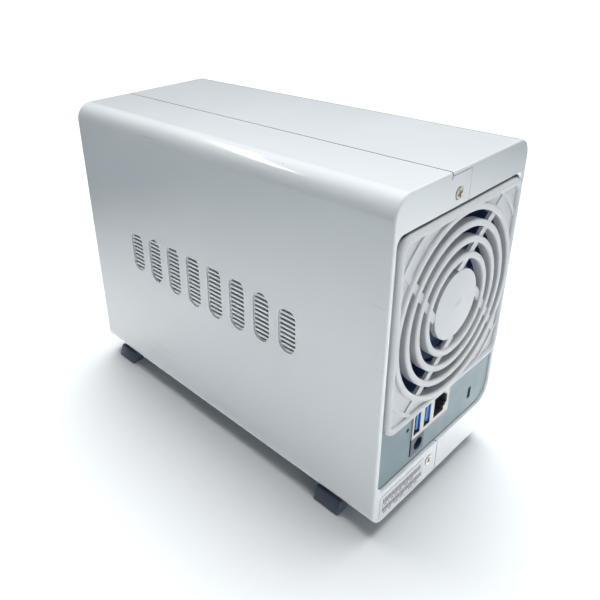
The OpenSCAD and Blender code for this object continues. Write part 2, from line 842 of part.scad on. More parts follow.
module network_insert() color("black") lift()
  difference() {
    along_y(94.02, 107.4) translate([socket_x, 43]) latch_profile(8.3, 11.8);
    along_y(96, 108) translate([socket_x, 43]) latch_profile(7.5, 11);
  }

module network_contacts() color("gold") lift()
  for (i = [0 : 7])
    box([socket_x + 3.25, 96.02, 39.2 + i * 1.02], [socket_x + 3.73, 105, 39.6 + i * 1.02]);

module power_jack() color("black") lift()
  difference() {
    box([jack_x[0], 93.5, jack_z[0]], [jack_x[1], rear_y - 0.6, jack_z[1]]);
    rod_y(16.6, 29.2, 95.5, 110, 3.3);
  }

module power_pin() color("silver") lift()
  rod_y(16.6, 29.2, 95.52, 106.4, 1);

module reset_switch() color("dimgray") lift()
  difference() {
    box([board_x + board_t + 0.02, 98.4, 39.4], [board_x + board_t + 3.6, 103.6, 45.4]);
    rod_y(26, 42.4, 101.4, 105, 0.85);
  }

module reset_button() color("black") lift()
  rod_y(26, 42.4, 102, 104.8, 0.8);

module riser_slot() color("black") lift()
  difference() {
    box([board_x - 8, 49.6, 22], [board_x - 0.02, 55, 47.4]);
    box([board_x - 9, 51.7, 24], [board_x - 2.4, 53.3, 45.4]);
  }

module backplane() color("darkgreen") lift()
  difference() {
    union() {
      box([cage_x0 + 1.6, 51.8, 56], [cage_x1 - 0.4, 53.2, 150.8]);
      box([-12, 51.8, 24.4], [board_x - 2.6, 53.2, 45]);
      box([-12, 51.8, 44.9], [12, 53.2, 56.1]);
    }
    for (x = [-29, 27], z = [62, 148])
      rod_y(x, z, 50, 60, 1.5);
    for (x = [-16, 14])
      along_y(50, 60) translate([x, 132]) rounded(20, 20, 3);
  }

module drive_connectors() color("black") lift()
  for (x = bay_x)
    difference() {
      box([x + 3, 43, 66], [x + 9.6, 51.78, 108]);
      box([x + 4.4, 42, 68], [x + 8.2, 49.6, 83]);
      box([x + 4.4, 42, 85], [x + 8.2, 49.6, 106]);
    }

// ---------- assembly ----------

left_shell();
right_shell();
front_panel();
rear_plate();
base_tray();
cage_shelf();
cage_roof();
cage_side();
cage_front();
cage_rear();
fan_guard();
fan_frame();
fan_rotor();
fan_shaft();
fan_bearing();
fan_stator();
fan_pins();
fan_lead();
fan_plug();
main_board();
processor();
thermal_pad();
heat_sink();
memory_chips();
controller_chips();
capacitors();
inductors();
coin_cell_holder();
coin_cell();
buzzer();
fan_header();
cable_header();
connector_stack();
usb_tongues();
network_insert();
network_contacts();
power_jack();
power_pin();
reset_switch();
reset_button();
riser_slot();
backplane();
drive_connectors();
board_standoffs();
board_screws();
cage_screws();
tray_screws();
cover_screws();
left_feet();
right_feet();
power_button();
power_switch();
light_board();
light_board_screws();
light_pipes();
light_emitters();
front_cable();
blank_label();
lock_bracket();
front_screws();
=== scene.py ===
import json
import math

import bmesh
import bpy
from mathutils import Matrix, Vector


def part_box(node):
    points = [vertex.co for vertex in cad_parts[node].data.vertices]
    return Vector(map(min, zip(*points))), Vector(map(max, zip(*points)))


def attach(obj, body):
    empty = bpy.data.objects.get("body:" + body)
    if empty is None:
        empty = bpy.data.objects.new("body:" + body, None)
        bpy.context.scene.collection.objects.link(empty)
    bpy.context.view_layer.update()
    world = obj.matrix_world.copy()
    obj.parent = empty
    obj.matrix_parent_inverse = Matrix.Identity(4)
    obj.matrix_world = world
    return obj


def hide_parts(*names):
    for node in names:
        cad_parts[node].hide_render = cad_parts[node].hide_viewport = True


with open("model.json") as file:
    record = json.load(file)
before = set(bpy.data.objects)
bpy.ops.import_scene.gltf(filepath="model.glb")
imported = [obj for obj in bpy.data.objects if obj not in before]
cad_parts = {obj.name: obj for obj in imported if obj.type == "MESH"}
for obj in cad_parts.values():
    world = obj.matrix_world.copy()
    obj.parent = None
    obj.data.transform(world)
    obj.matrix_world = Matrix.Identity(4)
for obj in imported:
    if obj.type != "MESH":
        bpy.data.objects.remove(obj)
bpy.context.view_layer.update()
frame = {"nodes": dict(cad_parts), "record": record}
scene = bpy.context.scene
nodes = frame["nodes"]
slot_of = {p["node"]: p["material_slot"] for p in frame["record"]["subparts"]}

MM = 1000  # pieces are drawn in millimetres, while the frame is in metres


# ---------- camera, light and floor ----------

def make_camera():
    """The photograph's view, from above and behind the louvred side."""
    data = bpy.data.cameras.new("camera")
    cam = bpy.data.objects.new("camera", data)
    scene.collection.objects.link(cam)
    spot = Vector((0.2207, 0.2196, 0.2479))
    az, el, roll = (math.radians(a) for a in (-132.36, -25.99, -2.09))
    forward = Vector((math.cos(el) * math.cos(az), math.cos(el) * math.sin(az), math.sin(el)))
    right = forward.cross(Vector((0, 0, 1))).normalized()
    up = right.cross(forward)
    across = right * math.cos(roll) + up * math.sin(roll)
    above = up * math.cos(roll) - right * math.sin(roll)
    turn = Matrix((across, above, -forward)).transposed()
    cam.matrix_world = Matrix.Translation(spot) @ turn.to_4x4()
    data.sensor_width = 36
    data.lens = 37.72
    data.shift_x = 0.088
    data.shift_y = -0.0893
    data.clip_start = 0.01
    data.clip_end = 200
    scene.camera = cam


def aim(lamp, spot, target):
    lamp.location = spot
    lamp.rotation_euler = (Vector(target) - Vector(spot)).to_track_quat("-Z", "Y").to_euler()
    scene.collection.objects.link(lamp)


def softbox(name, spot, size, power, tint):
    data = bpy.data.lights.new(name, "AREA")
    data.shape = "RECTANGLE"
    data.size, data.size_y = size
    data.energy = power
    data.color = tint
    aim(bpy.data.objects.new(name, data), spot, (0, 0, 0.08))


def sky(name, spot, strength, spread, tint):
    """A broad sun that leaves no bright spot in the gloss."""
    data = bpy.data.lights.new(name, "SUN")
    data.energy = strength
    data.angle = math.radians(spread)
    data.color = tint
    lamp = bpy.data.objects.new(name, data)
    lamp.visible_glossy = False
    aim(lamp, spot, (0, 0, 0))


def make_world():
    """Grey surroundings, darkest just above the horizon and fading towards +X."""
    world = bpy.data.worlds.new("studio")
    world.use_nodes = True
    tree = world.node_tree
    coord = tree.nodes.new("ShaderNodeTexCoord")
    split = tree.nodes.new("ShaderNodeSeparateXYZ")
    ramp = tree.nodes.new("ShaderNodeValToRGB")
    tree.links.new(coord.outputs["Generated"], split.inputs[0])
    tree.links.new(split.outputs["Z"], ramp.inputs["Fac"])
    fade = tree.nodes.new("ShaderNodeMapRange")
    fade_from, fade_to, bright, dim = -0.5, 0.4, 1.0, 0.06
    for socket, value in zip(fade.inputs, (0, fade_from, fade_to, bright, dim)):
        socket.default_value = value
    tree.links.new(split.outputs["X"], fade.inputs["Value"])
    tree.links.new(fade.outputs[0], tree.nodes["Background"].inputs["Strength"])
    tree.links.new(ramp.outputs["Color"], tree.nodes["Background"].inputs["Color"])
    stops = ramp.color_ramp.elements
    stops[0].position, stops[0].color = 0.0, (0.50, 0.52, 0.54, 1)
    stops[1].position, stops[1].color = 0.8, (0.60, 0.61, 0.62, 1)
    low = ramp.color_ramp.elements.new(0.12)
    low.color = (0.16, 0.175, 0.19, 1)
    high = ramp.color_ramp.elements.new(0.30)
    high.color = (0.34, 0.36, 0.38, 1)
    scene.world = world


# ---------- material tools ----------

class Look:
    """A procedural material around one Principled shader, in the object's own coordinates."""

    def __init__(self, name, **sockets):
        self.name = name
        self.mat = bpy.data.materials.new(name)
        self.mat.use_nodes = True
        self.tree = self.mat.node_tree
        self.shader = self.tree.nodes["Principled BSDF"]
        for key, value in sockets.items():
            self.shader.inputs[key.replace("_", " ")].default_value = value
        coords = self.add("ShaderNodeTexCoord")
        self.point = coords.outputs["Object"]
        self.facing = coords.outputs["Normal"]

    def add(self, kind, **settings):
        node = self.tree.nodes.new(kind)
        for key, value in settings.items():
            setattr(node, key, value)
        return node

    def plug(self, value, socket):
        if isinstance(value, bpy.types.NodeSocket):
            self.tree.links.new(value, socket)
        else:
            socket.default_value = value

    def stretched(self, stretch):
        node = self.add("ShaderNodeMapping")
        self.plug(self.point, node.inputs["Vector"])
        node.inputs["Scale"].default_value = stretch
        return node.outputs["Vector"]

    def noise(self, scale, detail=3, stretch=None, warp=0):
        node = self.add("ShaderNodeTexNoise")
        self.plug(self.stretched(stretch) if stretch else self.point, node.inputs["Vector"])
        node.inputs["Scale"].default_value = scale
        node.inputs["Detail"].default_value = detail
        node.inputs["Distortion"].default_value = warp
        return node.outputs["Fac"]

    def cells(self, scale, output="Distance", stretch=None):
        node = self.add("ShaderNodeTexVoronoi")
        self.plug(self.stretched(stretch) if stretch else self.point, node.inputs["Vector"])
        node.inputs["Scale"].default_value = scale
        return node.outputs[output]

    def axis(self, name, source=None):
        node = self.add("ShaderNodeSeparateXYZ")
        self.plug(source or self.point, node.inputs[0])
        return node.outputs[name]

    def math(self, operation, a, b=0.0):
        node = self.add("ShaderNodeMath", operation=operation)
        self.plug(a, node.inputs[0])
        self.plug(b, node.inputs[1])
        return node.outputs[0]

    def span(self, value, low, high, out_low=0.0, out_high=1.0):
        node = self.add("ShaderNodeMapRange")
        for socket, v in zip(node.inputs, (value, low, high, out_low, out_high)):
            self.plug(v, socket)
        return node.outputs[0]

    def near(self, value, middle, half):
        """1 where value is within half of middle, 0 elsewhere."""
        off = self.math("ABSOLUTE", self.math("SUBTRACT", value, middle))
        return self.math("LESS_THAN", off, half)

    def mix(self, share, a, b):
        node = self.add("ShaderNodeMix", data_type="RGBA")
        self.plug(share, node.inputs["Factor"])
        for value, socket in ((a, node.inputs[6]), (b, node.inputs[7])):
            self.plug((*value, 1) if isinstance(value, tuple) else value, socket)
        return node.outputs[2]

    def colour(self, value):
        self.plug(value, self.shader.inputs["Base Color"])

    def rough(self, value, low, high):
        self.plug(self.span(value, 0.3, 0.7, low, high), self.shader.inputs["Roughness"])

    def bump(self, height, distance):
        """Adds relief, distance deep in metres, on top of any relief so far."""
        node = self.add("ShaderNodeBump")
        node.inputs["Distance"].default_value = distance
        self.plug(height, node.inputs["Height"])
        if self.shader.inputs["Normal"].is_linked:
            self.plug(self.shader.inputs["Normal"].links[0].from_socket, node.inputs["Normal"])
        self.plug(node.outputs["Normal"], self.shader.inputs["Normal"])


def moulded(name, dark, light, rough, grain=2200, depth=0.00002, **sockets):
    """Plastic, rubber or paint: two tones mixed softly, fine grain and uneven gloss."""
    look = Look(name, **sockets)
    cloud = look.noise(35, 4)
    look.colour(look.mix(look.span(cloud, 0.35, 0.65), dark, light))
    look.rough(look.noise(140, 3), rough - 0.06, rough + 0.08)
    look.bump(look.noise(grain, 2), depth)
    return look


def metal(name, dark, light, rough, stretch=(1, 1, 1)):
    """Bare or plated metal: drawn lines, cloudy tone, handled gloss."""
    look = Look(name, Metallic=1.0)
    lines = look.noise(900, 3, stretch)
    cloud = look.noise(60, 4)
    look.colour(look.mix(look.span(look.math("ADD", lines, cloud), 0.7, 1.3), dark, light))
    look.rough(look.math("MULTIPLY", look.math("ADD", lines, cloud), 0.5), rough - 0.08, rough + 0.1)
    look.bump(lines, 0.000015)
    return look


# ---------- materials ----------

def shell_look():
    """Glossy white plastic with scuffs, specks and painted shade along the shells' seams."""
    look = Look("shell_white", Coat_Weight=1.0, Coat_Roughness=0.04, Coat_IOR=1.6)
    cloud = look.span(look.noise(14, 3), 0.35, 0.65)
    base = look.mix(cloud, (0.57, 0.61, 0.635), (0.595, 0.635, 0.655))
    zones = look.span(look.noise(11, 2, (1.7, 1, 1.3)), 0.6, 0.68)
    streaks = look.span(look.noise(75, 4, (1, 0.3, 9), 0.4), 0.64, 0.7)
    scuffs = look.math("MULTIPLY", zones, streaks)
    base = look.mix(look.math("MULTIPLY", scuffs, 0.75), base, (0.42, 0.37, 0.38))
    picked = look.math("GREATER_THAN", look.axis("X", look.cells(85, "Color")), 0.86)
    specks = look.math("MULTIPLY", look.math("LESS_THAN", look.cells(85), 0.035), picked)
    base = look.mix(look.math("MULTIPLY", specks, 0.85), base, (0.22, 0.22, 0.23))
    x, z = look.axis("X"), look.axis("Z")
    # Painted shade: a dark line along the gaps of the top and the bottom seams, fainter at the bottom,
    # where the gaps would lie in shade.
    seam_half, top_seam, low_seam = 0.00026, 0.01385, -0.00095
    top_face, low_face = 0.1645, 0.0105
    on_top = look.math("GREATER_THAN", z, top_face)
    below = look.math("LESS_THAN", z, low_face)
    upper = look.math("MULTIPLY", look.near(x, top_seam, seam_half), on_top)
    lower = look.math("MULTIPLY", look.near(x, low_seam, seam_half), below)
    seam_shade = look.math("MAXIMUM", upper, look.math("MULTIPLY", lower, 0.45))
    look.colour(look.mix(seam_shade, base, (0.06, 0.07, 0.08)))
    handled = look.math("ADD", look.noise(22, 3), look.math("MULTIPLY", scuffs, 0.6))
    look.rough(handled, 0.13, 0.24)
    look.bump(look.noise(30, 1), 0.00006)
    look.bump(look.noise(700, 2), 0.000004)
    return look


def guard_look():
    """Satin white plastic with dust that deepens towards the fan."""
    look = Look("guard_white")
    deep_y, face_y = 0.1055, 0.1095
    raised = look.span(look.axis("Y"), deep_y, face_y)
    dust = look.math("MULTIPLY", look.math("SUBTRACT", 1.0, raised), look.noise(70, 4))
    tone = look.mix(look.span(look.noise(26, 3), 0.35, 0.65), (0.57, 0.59, 0.605), (0.59, 0.605, 0.62))
    look.colour(look.mix(look.math("MULTIPLY", dust, 0.7), tone, (0.47, 0.5, 0.53)))
    look.rough(look.noise(120, 3), 0.4, 0.5)
    look.bump(look.noise(2600, 2), 0.000012)
    return look


def plate_look():
    """Painted plate with stains, and painted shadow lines at its lower edge and under the port stack."""
    look = Look("plate_grey", Metallic=0.15)
    stains = look.span(look.noise(48, 5, (1, 1, 0.5)), 0.56, 0.72)
    tone = look.mix(look.span(look.noise(16, 2), 0.35, 0.65), (0.15, 0.22, 0.24), (0.165, 0.235, 0.26))
    tone = look.mix(look.math("MULTIPLY", stains, 0.35), tone, (0.11, 0.165, 0.18))
    x, z = look.axis("X"), look.axis("Z")
    # Painted shadow: dark bands along the plate's lower edge at the shell's opening and under the port
    # stack, where the gaps round them lie in shade.
    rim_z, stack_foot_z, gap_half = 0.02835, 0.0410, 0.0004
    stack_x, stack_half = 0.0022, 0.0102
    rim_shadow = look.near(z, rim_z, gap_half)
    under = look.math("MULTIPLY", look.near(z, stack_foot_z, gap_half), look.near(x, stack_x, stack_half))
    shade = look.math("MULTIPLY", look.math("MAXIMUM", rim_shadow, under), 0.85)
    look.colour(look.mix(shade, tone, (0.03, 0.035, 0.05)))
    look.rough(look.noise(90, 3), 0.34, 0.46)
    look.bump(look.noise(1600, 3), 0.00002)
    return look


def zinc_look():
    """Galvanised sheet: spangle under rolling lines."""
    look = Look("sheet_steel", Metallic=1.0)
    spangle = look.axis("X", look.cells(210, "Color"))
    rolled = look.noise(500, 3, (1, 0.06, 1))
    tone = look.math("ADD", look.math("MULTIPLY", spangle, 0.45), look.math("MULTIPLY", rolled, 0.8))
    look.colour(look.mix(look.span(tone, 0.35, 0.9), (0.5, 0.52, 0.54), (0.68, 0.69, 0.7)))
    look.rough(tone, 0.26, 0.4)
    look.bump(rolled, 0.00002)
    return look


def board_look():
    """Solder mask with tracks in bundles along both directions and plated holes."""
    look = Look("board_green")
    half_pitch, half_track = 0.0006, 0.00024
    across, along = (look.math("LESS_THAN", look.math("PINGPONG", look.axis(a), half_pitch), half_track)
                     for a in "YZ")
    pick = look.cells(120, "Color", (0.2, 1, 0.8))
    bundle_a = look.math("MULTIPLY", across, look.math("GREATER_THAN", look.axis("X", pick), 0.62))
    bundle_b = look.math("MULTIPLY", along, look.math("LESS_THAN", look.axis("X", pick), 0.42))
    tracks = look.math("MAXIMUM", bundle_a, bundle_b)
    mask = look.mix(look.noise(90, 3), (0.008, 0.07, 0.032), (0.014, 0.095, 0.045))
    mask = look.mix(look.math("MULTIPLY", tracks, 0.7), mask, (0.03, 0.17, 0.08))
    holes = look.math("LESS_THAN", look.cells(260, "Distance", (0.02, 1, 1)), 0.11)
    look.colour(look.mix(holes, mask, (0.62, 0.5, 0.26)))
    look.rough(look.noise(200, 2), 0.24, 0.36)
    look.bump(tracks, 0.00003)
    return look


def label_look():
    """Plain sticker with two rows of short bars and a row of ticks under each."""
    look = Look("label_paper")
    x, z = look.axis("X"), look.axis("Z")
    paper = look.mix(look.noise(400, 3), (0.66, 0.68, 0.70), (0.70, 0.715, 0.73))
    ink, start, bar_share = 0.0, 0.0432, 0.62
    rows = (  # foot, height, pitch, share left out, inner end
        (0.0183, 0.0030, 0.00110, 0.10, 0.0130), (0.0168, 0.0011, 0.00085, 0.25, 0.0165),
        (0.0132, 0.0028, 0.00105, 0.08, 0.0116), (0.0117, 0.0011, 0.00090, 0.25, 0.0150),
    )
    for foot, high, step, gaps, stop in rows:
        column = look.add("ShaderNodeTexWhiteNoise", noise_dimensions="1D")
        place = look.math("DIVIDE", look.math("ADD", x, foot), step)
        look.plug(look.math("FLOOR", place), column.inputs["W"])
        bar = look.math("LESS_THAN", look.math("FRACT", place), bar_share)
        on = look.math("MULTIPLY", bar, look.math("GREATER_THAN", column.outputs["Value"], gaps))
        row = look.near(z, foot + high / 2, high / 2)
        wide = look.math("MULTIPLY", look.math("GREATER_THAN", x, stop), look.math("LESS_THAN", x, start))
        ink = look.math("MAXIMUM", ink, look.math("MULTIPLY", on, look.math("MULTIPLY", row, wide)))
    look.colour(look.mix(ink, paper, (0.02, 0.024, 0.04)))
    look.rough(look.noise(300, 2), 0.4, 0.5)
    look.bump(look.noise(1500, 2), 0.000006)
    return look


def can_look():
    """Capacitor can: printed sleeve on the side, bare scored metal on the end."""
    look = Look("capacitor_sleeve", Metallic=0.6)
    end = look.math("GREATER_THAN", look.math("ABSOLUTE", look.axis("X", look.facing)), 0.8)
    sleeve = look.mix(look.noise(120, 3), (0.05, 0.055, 0.07), (0.075, 0.08, 0.1))
    bare = look.mix(look.noise(500, 3), (0.6, 0.61, 0.62), (0.75, 0.75, 0.76))
    look.colour(look.mix(end, sleeve, bare))
    look.rough(look.noise(160, 3), 0.25, 0.4)
    can_pitch, score_half = 0.004, 0.0003
    score = look.math("LESS_THAN", look.math("PINGPONG", look.axis("Y"), can_pitch), score_half)
    look.bump(score, 0.0001)
    return look


def jack_look():
    """Grey housing with a blue-black throat around the pin."""
    look = moulded("jack_housing", (0.04, 0.052, 0.066), (0.06, 0.075, 0.092), 0.42)
    low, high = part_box("power_pin")
    across = look.math("SUBTRACT", look.axis("X"), (low.x + high.x) / 2)
    rise = look.math("SUBTRACT", look.axis("Z"), (low.z + high.z) / 2)
    squares = (look.math("POWER", off, 2.0) for off in (across, rise))
    ring = look.math("SQRT", look.math("ADD", *squares))
    throat, throat_edge = 0.0033, 0.00338
    tone = look.shader.inputs["Base Color"].links[0].from_socket
    look.colour(look.mix(look.span(ring, throat, throat_edge), (0.03, 0.055, 0.14), tone))
    return look


def coil_look():
    """Enamelled copper wire, turn beside turn."""
    look = Look("coil_copper", Metallic=0.9)
    half_turn = 0.00022
    turns = look.span(look.math("PINGPONG", look.axis("Y"), half_turn), 0.0, half_turn)
    look.colour(look.mix(look.noise(150, 3), (0.5, 0.2, 0.08), (0.72, 0.34, 0.16)))
    look.rough(look.noise(200, 2), 0.25, 0.4)
    look.bump(turns, 0.0002)
    return look


def ribbon_look():
    """Flat cable with one ridge to each wire."""
    look = Look("ribbon_grey")
    half_wire = 0.00032
    wires = look.span(look.math("PINGPONG", look.axis("Z"), half_wire), 0.0, half_wire)
    look.colour(look.mix(wires, (0.3, 0.31, 0.33), (0.52, 0.53, 0.55)))
    look.rough(look.noise(200, 2), 0.4, 0.5)
    look.bump(wires, 0.0002)
    return look


looks = {look.name: look for look in (
    shell_look(),
    guard_look(),
    plate_look(),
    zinc_look(),
    moulded("fan_dark", (0.044, 0.088, 0.215), (0.062, 0.118, 0.275), 0.34),
    board_look(),
    moulded("chip_black", (0.014, 0.014, 0.016), (0.03, 0.03, 0.033), 0.5, 3000),
    moulded("connector_black", (0.03, 0.036, 0.045), (0.05, 0.058, 0.07), 0.42),
    moulded("connector_ivory", (0.62, 0.58, 0.45), (0.72, 0.68, 0.56), 0.4),
    metal("aluminium_fins", (0.6, 0.61, 0.63), (0.78, 0.79, 0.8), 0.34, (1, 0.05, 1)),
    metal("screw_nickel", (0.6, 0.55, 0.48), (0.78, 0.73, 0.66), 0.38),
    metal("shield_nickel", (0.37, 0.365, 0.35), (0.48, 0.475, 0.46), 0.42, (1, 1, 0.08)),
    metal("shaft_steel", (0.55, 0.56, 0.57), (0.72, 0.73, 0.74), 0.2, (1, 12, 1)),
    metal("bearing_brass", (0.5, 0.34, 0.14), (0.68, 0.5, 0.24), 0.35),
    coil_look(),
    jack_look(),
    metal("contact_gold", (0.68, 0.47, 0.17), (0.85, 0.64, 0.28), 0.28),
    moulded("pin_rubber", (0.015, 0.016, 0.018), (0.03, 0.03, 0.034), 0.6),
    moulded("pad_silicone", (0.3, 0.33, 0.4), (0.38, 0.42, 0.5), 0.6),
    moulded("foot_slate", (0.036, 0.056, 0.092), (0.05, 0.074, 0.115), 0.46, 1500, 0.00003),
    moulded("usb_blue", (0.006, 0.2, 0.68), (0.01, 0.27, 0.8), 0.36),
    moulded("button_white", (0.66, 0.69, 0.71), (0.72, 0.745, 0.76), 0.3),
    moulded("button_black", (0.015, 0.016, 0.02), (0.03, 0.03, 0.035), 0.4),
    moulded("light_clear", (0.7, 0.73, 0.75), (0.8, 0.82, 0.83), 0.25, Transmission_Weight=0.3),
    moulded("emitter_ivory", (0.72, 0.68, 0.5), (0.8, 0.76, 0.6), 0.35),
    moulded("lead_grey", (0.05, 0.05, 0.055), (0.09, 0.09, 0.1), 0.45),
    ribbon_look(),
    metal("cell_steel", (0.58, 0.59, 0.6), (0.76, 0.77, 0.77), 0.26, (1, 0.2, 1)),
    can_look(),
    label_look(),
    moulded("wire_red", (0.35, 0.02, 0.02), (0.45, 0.04, 0.03), 0.42),
    moulded("wire_yellow", (0.6, 0.42, 0.03), (0.72, 0.52, 0.06), 0.42),
    moulded("smd_tan", (0.2, 0.13, 0.07), (0.32, 0.22, 0.13), 0.4),
    metal("solder", (0.5, 0.51, 0.53), (0.7, 0.71, 0.73), 0.28),
)}

own_look = {"power_jack": "jack_housing"}  # the one piece whose look isn't its slot's
for name, node in nodes.items():
    node.data.materials.clear()
    node.data.materials.append(looks[own_look.get(name, slot_of[name])].mat)


# ---------- mesh tools ----------

def piece(name, bm, body, look, slot=None):
    """Makes a piece of a bmesh drawn in millimetres in the row frame."""
    bmesh.ops.recalc_face_normals(bm, faces=bm.faces)
    mesh = bpy.data.meshes.new(name)
    bm.to_mesh(mesh)
    bm.free()
    mesh.transform(Matrix.Scale(1 / MM, 4))
    mesh.shade_smooth()
    mesh.set_sharp_from_angle(angle=math.radians(35))
    mesh.materials.append(looks[look].mat)
    obj = bpy.data.objects.new(name, mesh)
    scene.collection.objects.link(obj)
    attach(obj, body)
    return obj


def islands(node):
    """The box of each separate solid of a CAD node, in millimetres."""
    bm = bmesh.new()
    bm.from_mesh(nodes[node].data)
    bmesh.ops.remove_doubles(bm, verts=bm.verts, dist=0.000005)
    boxes, seen = [], set()
    for start in bm.verts:
        if start in seen:
            continue
        seen.add(start)
        group, queue = [], [start]
        while queue:
            v = queue.pop()
            group.append(v.co * MM)
            for e in v.link_edges:
                w = e.other_vert(v)
                if w not in seen:
                    seen.add(w)
                    queue.append(w)
        corners = (Vector([pick(c[i] for c in group) for i in range(3)]) for pick in (min, max))
        boxes.append(tuple(corners))
    bm.free()
    return sorted(boxes, key=lambda b: (round(b[0].y, 2), round(b[0].z, 2), round(b[0].x, 2)))


def join(bm, ring_a, ring_b):
    """Faces between two closed rings of the same number of points."""
    for k, a in enumerate(ring_a):
        after = (k + 1) % len(ring_a)
        bm.faces.new((a, ring_a[after], ring_b[after], ring_b[k]))


def loft(bm, rings):
    """Joins rings of points with faces and caps both ends."""
    made = [[bm.verts.new(p) for p in ring] for ring in rings]
    for a, b in zip(made, made[1:]):
        join(bm, a, b)
    bm.faces.new(made[0])
    bm.faces.new(made[-1])


def block(bm, low, high, bevel=0.15):
    """A box with rounded edges, between two corners."""
    low, high = Vector(low), Vector(high)
    made = bmesh.ops.create_cube(bm, size=1)["verts"]
    for v in made:
        v.co = (low + high) / 2 + Vector(a * b for a, b in zip(v.co, high - low))
    edges = list({e for v in made for e in v.link_edges})
    width = min(bevel, min(high - low) * 0.35)
    bmesh.ops.bevel(bm, geom=edges, offset=width, segments=2, affect="EDGES", profile=0.6)


# ---------- stage ----------

def flat(name, reach, height, look):
    """A square sheet of the stage, reaching as far in each direction."""
    mesh = bpy.data.meshes.new(name)
    corners = [(x * reach, y * reach, height) for x, y in ((-1, -1), (1, -1), (1, 1), (-1, 1))]
    mesh.from_pydata(corners, [], [(0, 1, 2, 3)])
    mesh.materials.append(look.mat)
    obj = bpy.data.objects.new(name, mesh)
    scene.collection.objects.link(obj)
    return obj


def make_floor():
    """Pale paper, and over it a card that only mirrors see, painting a glowing reflection near the object
    and a dark one further out into the gloss, so that gloss reads as gloss.
    """
    paper = Look("floor_paper", Specular_IOR_Level=0.1)
    paper.colour(paper.mix(paper.noise(3, 2), (0.645, 0.675, 0.70), (0.665, 0.69, 0.71)))
    paper.rough(paper.noise(8, 2), 0.8, 0.9)
    flat("floor", 30, 0, paper)
    card_centre, bright_reach, dark_reach = (-0.07, 0.07, 0), 0.19, 0.55
    card = Look("painted_reflection_card", Specular_IOR_Level=0.0)
    reach = card.add("ShaderNodeVectorMath", operation="LENGTH")
    middle = card.add("ShaderNodeVectorMath", operation="SUBTRACT")
    card.plug(card.point, middle.inputs[0])
    middle.inputs[1].default_value = card_centre
    card.plug(middle.outputs["Vector"], reach.inputs[0])
    share = card.span(reach.outputs["Value"], bright_reach, dark_reach)
    share = card.math("ADD", share, card.math("MULTIPLY", card.noise(6, 2), 0.04))
    # Painted reflection: pale and glowing near the object, near black further out; only glossy rays see it.
    card.colour(card.mix(share, (0.9, 0.9, 0.9), (0.03, 0.04, 0.05)))
    card.plug((0.85, 0.95, 1.0, 1), card.shader.inputs["Emission Color"])
    card.plug(card.span(share, 0.0, 0.8, 0.35, 0.0), card.shader.inputs["Emission Strength"])
    sheet = flat("mirror_card", 8, 0.0004, card)
    sheet.visible_camera = sheet.visible_diffuse = sheet.visible_shadow = False
    sheet.visible_transmission = sheet.visible_volume_scatter = False


def make_backdrop():
    """A white wall far behind everything, for the camera only."""
    sides, radius, foot, top = 96, 10, -1, 20
    turn = [2 * math.pi * k / sides for k in range(sides)]
    points = [(radius * math.cos(a), radius * math.sin(a), z) for z in (foot, top) for a in turn]
    faces = [(k, (k + 1) % sides, sides + (k + 1) % sides, sides + k) for k in range(sides)]
    mesh = bpy.data.meshes.new("backdrop")
    mesh.from_pydata(points, [], faces)
    look = Look("backdrop_white", Emission_Color=(1, 1, 1, 1), Emission_Strength=1.0)
    look.colour(look.mix(look.noise(0.1, 1), (0.8, 0.8, 0.8), (0.82, 0.82, 0.82)))
    mesh.materials.append(look.mat)
    wall = bpy.data.objects.new("backdrop", mesh)
    wall.visible_diffuse = wall.visible_glossy = wall.visible_shadow = False
    scene.collection.objects.link(wall)


make_camera()
make_world()
make_floor()
make_backdrop()
sky("overhead", (-0.24, -0.15, 1.0), 5.0, 56, (1.0, 0.99, 0.98))
softbox("edge_light", (0.25, -1.9, 2.1), (1.6, 0.2), 6, (1.0, 1.0, 1.0))
softbox("rear_fill", (0.35, 1.8, 0.55), (1.2, 0.9), 7, (0.97, 0.99, 1.0))
scene.view_settings.view_transform = "Standard"


# ---------- fan ----------

BLADE_ROOT = 17.2  # radius at which the blades leave the hub
BLADE_TOP = 14.4  # height of their leading edges in the hub


def blade_ring(share, lead, tip_r, at):
    """One closed section across a blade, share of the way from the hub to its tip."""
    points = 11
    r = BLADE_ROOT + (tip_r - BLADE_ROOT) * share
    sweep = 0.30 * share + 0.18 * share * share
    chord = 0.62 - 0.10 * share
    drop = 13.2 - 2.2 * share
    upper, lower = [], []
    for j in range(points):
        t = j / (points - 1)
        camber = 1.5 * math.sin(math.pi * t)
        thick = 0.35 + 0.75 * math.sin(math.pi * min(1, t + 0.12)) ** 0.5
        y = BLADE_TOP - drop * t - camber
        a = lead + sweep + chord * (t - 0.5)
        upper.append(at(r, a, y + thick / 2))
        lower.append(at(r, a, y - thick / 2))
    return upper + lower[::-1]


def make_rotor():
    """Cup-shaped hub with swept, cambered blades."""
    blades, sections, hub_sides = 9, 13, 72
    low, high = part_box("fan_rotor")
    axis = (low + high) / 2 * MM
    y0 = low.y * MM
    tip_r = (high.x - low.x) * MM / 2
    bm = bmesh.new()

    def at(r, a, y):
        return (axis.x + r * math.cos(a), y0 + y, axis.z + r * math.sin(a))

    turn = [2 * math.pi * k / hub_sides for k in range(hub_sides)]
    outline = [(1.6, 0.4), (9, 0), (14.6, 0), (16.6, 0.5), (17.5, 1.8), (17.5, 15.6),
               (17.1, 16), (15.9, 16), (15.6, 15.6), (15.6, 2.4), (14.9, 1.8), (1.6, 1.8)]
    made = [[bm.verts.new(at(r, a, y)) for a in turn] for r, y in outline]
    for a, b in zip(made, made[1:] + made[:1]):
        join(bm, a, b)
    for k in range(blades):
        lead = 2 * math.pi * k / blades
        loft(bm, [blade_ring(i / (sections - 1), lead, tip_r, at) for i in range(sections)])
    rotor = piece("rotor_moulding", bm, "rotor", "fan_dark", "fan_dark")
    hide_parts("fan_rotor")


make_rotor()


# ---------- softened copies of CAD pieces ----------

